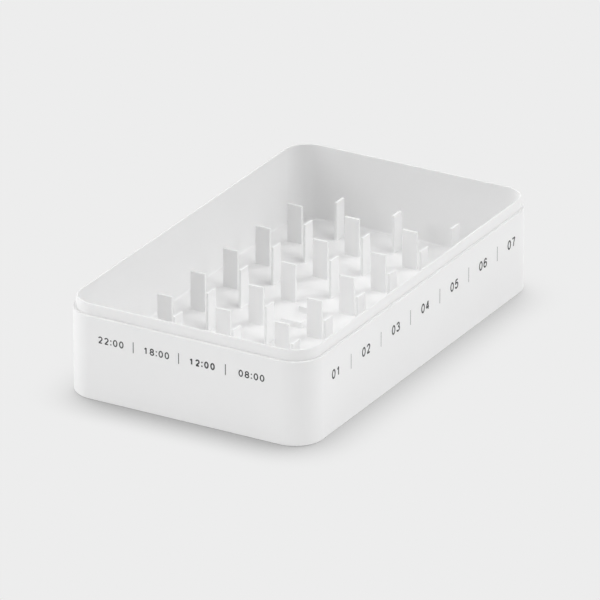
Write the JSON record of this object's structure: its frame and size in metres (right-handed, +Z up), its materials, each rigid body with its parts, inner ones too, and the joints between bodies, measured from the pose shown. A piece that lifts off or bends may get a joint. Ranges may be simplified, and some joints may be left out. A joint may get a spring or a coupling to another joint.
{
  "type": "pill counting tray",
  "caption": "Rounded rectangular tray with an outer shell and a lift-out inner tray, whose upright tabs keep small pill cups apart by day and time of day.",
  "frame": {"origin": "middle of the underside, on the table", "axes": "+X to the side with the day legends, +Y away from the side with the time legends, +Z up"},
  "size_m": [0.1036, 0.1742, 0.0378],
  "materials": {
    "shell_plastic": "fine satin white",
    "tray_plastic": "fine satin white",
    "legend_ink": "matt dark grey pad print"
  },
  "bodies": {
    "shell": {"outer_shell": "shell_plastic", "support_rib_1": "shell_plastic", "support_rib_2": "shell_plastic", "support_rib_3": "shell_plastic", "support_rib_4": "shell_plastic"},
    "tray": {"column_divider_1_1": "tray_plastic", "column_divider_1_2": "tray_plastic", "column_divider_1_3": "tray_plastic", "column_divider_1_4": "tray_plastic", "column_divider_1_5": "tray_plastic", "column_divider_1_6": "tray_plastic", "column_divider_1_7": "tray_plastic", "column_divider_2_1": "tray_plastic", "column_divider_2_2": "tray_plastic", "column_divider_2_3": "tray_plastic", "column_divider_2_5": "tray_plastic", "column_divider_2_6": "tray_plastic", "column_divider_2_7": "tray_plastic", "column_divider_3_1": "tray_plastic", "column_divider_3_2": "tray_plastic", "column_divider_3_3": "tray_plastic", "column_divider_3_4": "tray_plastic", "column_divider_3_5": "tray_plastic", "column_divider_3_6": "tray_plastic", "column_divider_3_7": "tray_plastic", "front_lug": "tray_plastic", "inner_tray": "tray_plastic", "rear_lug": "tray_plastic", "row_divider_1_1": "tray_plastic", "row_divider_1_2": "tray_plastic", "row_divider_1_3": "tray_plastic", "row_divider_1_4": "tray_plastic", "row_divider_2_1": "tray_plastic", "row_divider_2_2": "tray_plastic", "row_divider_2_3": "tray_plastic", "row_divider_2_4": "tray_plastic", "row_divider_3_1": "tray_plastic", "row_divider_3_2": "tray_plastic", "row_divider_3_3": "tray_plastic", "row_divider_3_4": "tray_plastic", "row_divider_4_1": "tray_plastic", "row_divider_4_2": "tray_plastic", "row_divider_4_3": "tray_plastic", "row_divider_4_4": "tray_plastic", "row_divider_5_1": "tray_plastic", "row_divider_5_2": "tray_plastic", "row_divider_5_3": "tray_plastic", "row_divider_5_4": "tray_plastic", "row_divider_6_1": "tray_plastic", "row_divider_6_2": "tray_plastic", "row_divider_6_3": "tray_plastic", "row_divider_6_4": "tray_plastic"}
  },
  "joints": [
    {"name": "tray_lift", "type": "slide", "parent": "shell", "child": "tray", "axis": [0, 0, 1], "range_m": [0, 0.04]}
  ]
}
